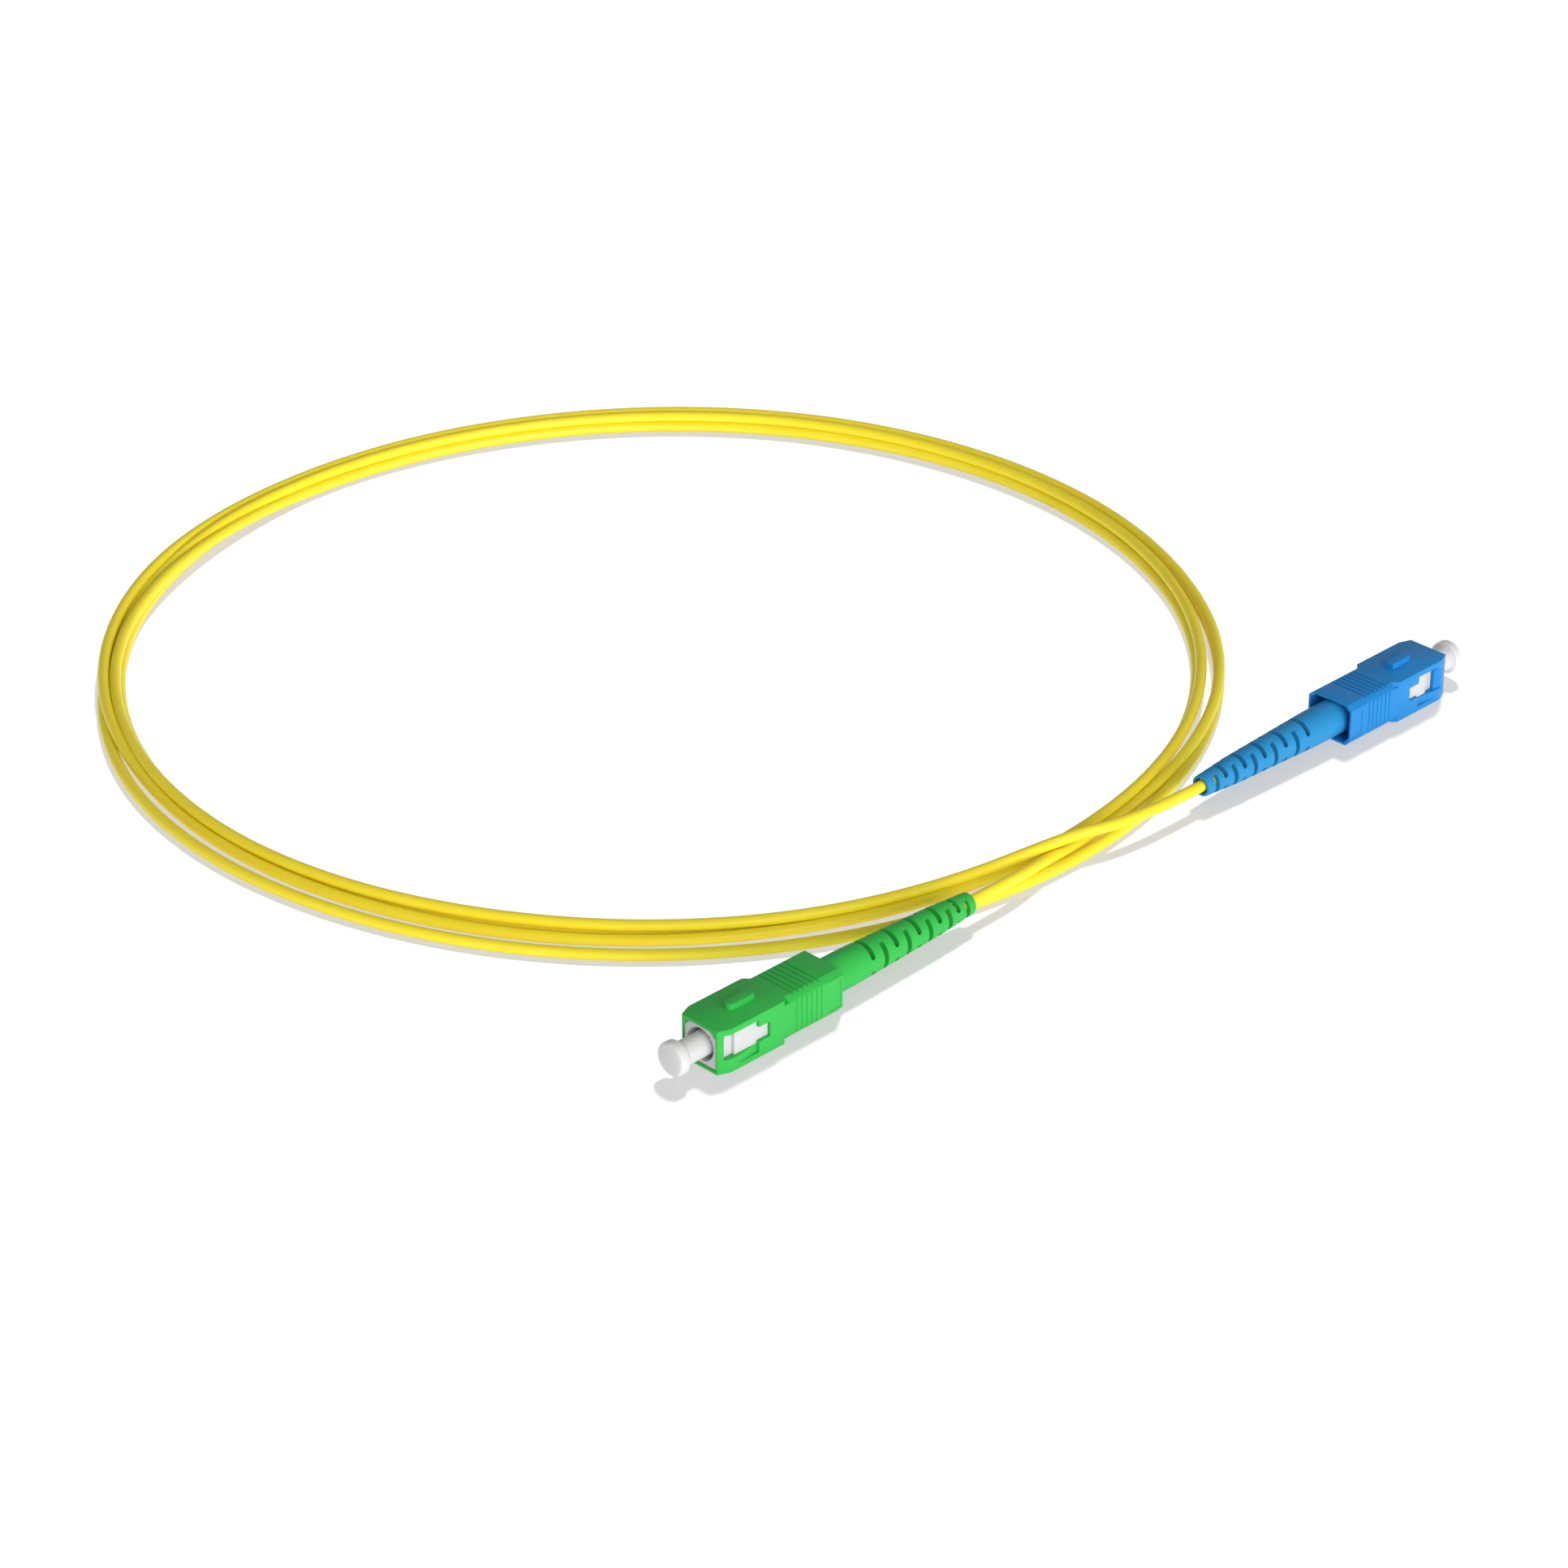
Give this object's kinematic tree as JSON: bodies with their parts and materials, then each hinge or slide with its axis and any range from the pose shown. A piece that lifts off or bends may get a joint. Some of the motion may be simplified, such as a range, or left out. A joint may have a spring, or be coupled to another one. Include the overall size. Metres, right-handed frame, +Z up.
{
  "type": "fibre optic patch cord",
  "caption": "Coiled yellow simplex fibre patch cord with a blue and a green push-pull plug, slotted bend-relief boots and translucent dust caps.",
  "frame": {"origin": "on the resting surface, midway between the two plugs", "axes": "+X along the plugs' line towards the blue plug's front, +Y towards the coil, +Z up"},
  "size_m": [0.1919, 0.1966, 0.0083],
  "materials": {
    "blue_housing": "satin moulded",
    "green_housing": "satin moulded",
    "blue_boot": "satin moulded",
    "green_boot": "satin moulded",
    "white_frame": "satin moulded",
    "zirconia": "polished",
    "flange_metal": "nickel plated",
    "buffer": "smooth",
    "guide_tube": "smooth",
    "spring_steel": "drawn wire",
    "aramid": "yarn",
    "crimp_brass": "plated",
    "yellow_jacket": "satin extruded",
    "cap": "translucent moulded"
  },
  "bodies": {
    "cord": {"blue_plug_frame": "white_frame", "blue_spring": "spring_steel", "blue_stop_ring": "flange_metal", "blue_aramid_yarn": "aramid", "blue_crimp_sleeve": "crimp_brass", "blue_cable_end": "yellow_jacket", "blue_boot": "blue_boot", "green_plug_frame": "white_frame", "green_spring": "spring_steel", "green_stop_ring": "flange_metal", "green_aramid_yarn": "aramid", "green_crimp_sleeve": "crimp_brass", "green_cable_end": "yellow_jacket", "green_boot": "green_boot", "cable_coil": "yellow_jacket", "blue_cable_lead": "yellow_jacket", "green_cable_lead": "yellow_jacket"},
    "blue_housing": {"blue_outer_housing": "blue_housing"},
    "blue_ferrule_unit": {"blue_ferrule": "zirconia", "blue_ferrule_flange": "flange_metal", "blue_fibre": "buffer", "blue_guide_tube": "guide_tube"},
    "blue_cap": {"blue_dust_cap": "cap"},
    "green_housing": {"green_outer_housing": "green_housing"},
    "green_ferrule_unit": {"green_ferrule": "zirconia", "green_ferrule_flange": "flange_metal", "green_fibre": "buffer", "green_guide_tube": "guide_tube"},
    "green_cap": {"green_dust_cap": "cap"}
  },
  "joints": [
    {"name": "blue_housing_slide", "type": "slide", "parent": "cord", "child": "blue_housing", "axis": [-1, 0, 0], "range_m": [0, 0.002]},
    {"name": "blue_ferrule_slide", "type": "slide", "parent": "cord", "child": "blue_ferrule_unit", "axis": [-1, 0, 0], "range_m": [0, 0.001], "stiffness_N_per_m": 50, "deforming": ["blue_spring"]},
    {"name": "blue_cap_pull", "type": "slide", "parent": "blue_ferrule_unit", "child": "blue_cap", "axis": [1, 0, 0], "range_m": [0, 0.016]},
    {"name": "green_housing_slide", "type": "slide", "parent": "cord", "child": "green_housing", "axis": [1, 0, 0], "range_m": [0, 0.002]},
    {"name": "green_ferrule_slide", "type": "slide", "parent": "cord", "child": "green_ferrule_unit", "axis": [1, 0, 0], "range_m": [0, 0.001], "stiffness_N_per_m": 50, "deforming": ["green_spring"]},
    {"name": "green_cap_pull", "type": "slide", "parent": "green_ferrule_unit", "child": "green_cap", "axis": [-1, 0, 0], "range_m": [0, 0.016]}
  ]
}
